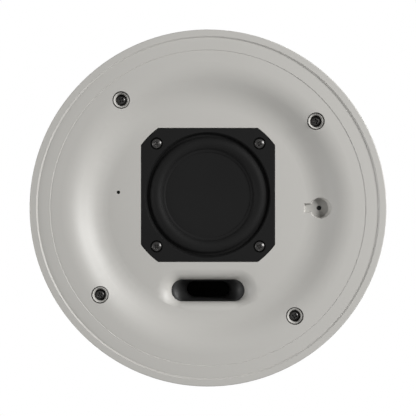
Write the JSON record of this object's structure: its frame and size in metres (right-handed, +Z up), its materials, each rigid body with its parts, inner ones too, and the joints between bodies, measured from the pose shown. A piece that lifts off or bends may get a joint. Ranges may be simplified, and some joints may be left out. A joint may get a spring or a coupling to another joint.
{
  "type": "in-ceiling speaker",
  "caption": "Round in-ceiling speaker, grille off: dished baffle with a square-framed full-range driver, slot port, recessed clamp screws, swing-out clamps and a sealed rear can.",
  "frame": {"origin": "on the axis of the round rim, in the plane of the ceiling's face that the foam ring under the rim meets", "axes": "+Z points up into the ceiling void, along the axis of the spigot; seen from the room, +X is right with the port slot below the driver, and +Y points from the driver to the slot"},
  "size_m": [0.18, 0.18, 0.1015],
  "materials": {
    "baffle_plastic": "light warm grey, fine satin grain",
    "can_plastic": "black, moulded satin",
    "frame_metal": "black satin paint",
    "surround_rubber": "black matt",
    "diaphragm_aluminium": "black coated, fine satin",
    "former_paper": "amber film",
    "copper_wire": "enamelled copper",
    "spider_cloth": "yellow impregnated cloth",
    "zinc_steel": "zinc plated",
    "ferrite": "sintered, dull dark grey",
    "terminal_board": "phenolic sheet with plated lugs",
    "foam": "black closed-cell foam",
    "boot_rubber": "black matt",
    "screw_black": "black zinc",
    "duct_plastic": "black, glossy",
    "clamp_screw_steel": "black zinc",
    "spring_steel": "oiled",
    "insert_brass": "turned",
    "dog_plastic": "black glass-filled nylon",
    "circuit_board": "green lacquer",
    "chip_black": "black moulded",
    "plunger_plastic": "black",
    "jack_plastic": "black",
    "capacitor_sleeve": "black sleeve",
    "sink_aluminium": "extruded"
  },
  "bodies": {
    "speaker_body": {"surround": "surround_rubber", "driver_gasket": "foam", "can_gasket": "foam", "ceiling_gasket": "foam", "microphone_boot": "boot_rubber", "front_baffle": "baffle_plastic", "rear_can": "can_plastic", "can_screws": "screw_black", "driver_screws": "screw_black", "board_screws": "screw_black", "driver_frame": "frame_metal", "spider": "spider_cloth", "top_plate": "zinc_steel", "magnet": "ferrite", "yoke": "zinc_steel", "driver_terminals": "terminal_board", "port_duct": "duct_plastic", "microphone_board": "circuit_board", "microphone_chip": "chip_black", "control_board": "circuit_board", "control_screws": "screw_black", "reset_switch": "chip_black", "main_board": "circuit_board", "network_jack": "jack_plastic", "board_capacitors": "capacitor_sleeve", "board_inductors": "ferrite", "heat_sink": "sink_aluminium"},
    "cone": {"diaphragm": "diaphragm_aluminium", "voice_coil_former": "former_paper", "voice_coil": "copper_wire"},
    "reset_button": {"reset_plunger": "plunger_plastic"},
    "clamp_screw_1": {"clamp_screw_1": "clamp_screw_steel", "screw_clip_1": "spring_steel"},
    "clamp_nut_1": {"clamp_insert_1": "insert_brass"},
    "clamp_dog_1": {"clamp_dog_1": "dog_plastic"},
    "clamp_screw_2": {"clamp_screw_2": "clamp_screw_steel", "screw_clip_2": "spring_steel"},
    "clamp_nut_2": {"clamp_insert_2": "insert_brass"},
    "clamp_dog_2": {"clamp_dog_2": "dog_plastic"},
    "clamp_screw_3": {"clamp_screw_3": "clamp_screw_steel", "screw_clip_3": "spring_steel"},
    "clamp_nut_3": {"clamp_insert_3": "insert_brass"},
    "clamp_dog_3": {"clamp_dog_3": "dog_plastic"},
    "clamp_screw_4": {"clamp_screw_4": "clamp_screw_steel", "screw_clip_4": "spring_steel"},
    "clamp_nut_4": {"clamp_insert_4": "insert_brass"},
    "clamp_dog_4": {"clamp_dog_4": "dog_plastic"}
  },
  "joints": [
    {"name": "cone_travel", "type": "slide", "parent": "speaker_body", "child": "cone", "axis": [0, 0, 1], "range_m": [-0.0025, 0.0025], "stiffness_N_per_m": 1500, "deforming": ["surround", "spider"]},
    {"name": "reset_press", "type": "slide", "parent": "speaker_body", "child": "reset_button", "axis": [0, 0, 1], "range_m": [0, 0.0004], "stiffness_N_per_m": 400, "springref_m": -0.0005},
    {"name": "clamp_screw_turn_1", "type": "hinge", "parent": "speaker_body", "child": "clamp_screw_1", "pos_m": [0.04386, 0.05455, 0.008], "axis": [0, 0, 1], "range_deg": [0, 5041]},
    {"name": "clamp_travel_1", "type": "slide", "parent": "speaker_body", "child": "clamp_nut_1", "axis": [0, 0, -1], "range_m": [0, 0.028]},
    {"name": "clamp_swing_1", "type": "hinge", "parent": "clamp_nut_1", "child": "clamp_dog_1", "pos_m": [0.04386, 0.05455, 0.045], "axis": [0, 0, 1], "range_deg": [0, 90]},
    {"name": "clamp_screw_turn_2", "type": "hinge", "parent": "speaker_body", "child": "clamp_screw_2", "pos_m": [-0.05455, 0.04386, 0.008], "axis": [0, 0, 1], "range_deg": [0, 5041]},
    {"name": "clamp_travel_2", "type": "slide", "parent": "speaker_body", "child": "clamp_nut_2", "axis": [0, 0, -1], "range_m": [0, 0.028]},
    {"name": "clamp_swing_2", "type": "hinge", "parent": "clamp_nut_2", "child": "clamp_dog_2", "pos_m": [-0.05455, 0.04386, 0.045], "axis": [0, 0, 1], "range_deg": [0, 90]},
    {"name": "clamp_screw_turn_3", "type": "hinge", "parent": "speaker_body", "child": "clamp_screw_3", "pos_m": [-0.04386, -0.05455, 0.008], "axis": [0, 0, 1], "range_deg": [0, 5041]},
    {"name": "clamp_travel_3", "type": "slide", "parent": "speaker_body", "child": "clamp_nut_3", "axis": [0, 0, -1], "range_m": [0, 0.028]},
    {"name": "clamp_swing_3", "type": "hinge", "parent": "clamp_nut_3", "child": "clamp_dog_3", "pos_m": [-0.04386, -0.05455, 0.045], "axis": [0, 0, 1], "range_deg": [0, 90]},
    {"name": "clamp_screw_turn_4", "type": "hinge", "parent": "speaker_body", "child": "clamp_screw_4", "pos_m": [0.05455, -0.04386, 0.008], "axis": [0, 0, 1], "range_deg": [0, 5041]},
    {"name": "clamp_travel_4", "type": "slide", "parent": "speaker_body", "child": "clamp_nut_4", "axis": [0, 0, -1], "range_m": [0, 0.028]},
    {"name": "clamp_swing_4", "type": "hinge", "parent": "clamp_nut_4", "child": "clamp_dog_4", "pos_m": [0.05455, -0.04386, 0.045], "axis": [0, 0, 1], "range_deg": [0, 90]}
  ],
  "couplings": [
    {"joint": "clamp_screw_turn_1", "follows": "clamp_travel_1", "rad_per_m": 3141.6},
    {"joint": "clamp_screw_turn_2", "follows": "clamp_travel_2", "rad_per_m": 3141.6},
    {"joint": "clamp_screw_turn_3", "follows": "clamp_travel_3", "rad_per_m": 3141.6},
    {"joint": "clamp_screw_turn_4", "follows": "clamp_travel_4", "rad_per_m": 3141.6}
  ]
}
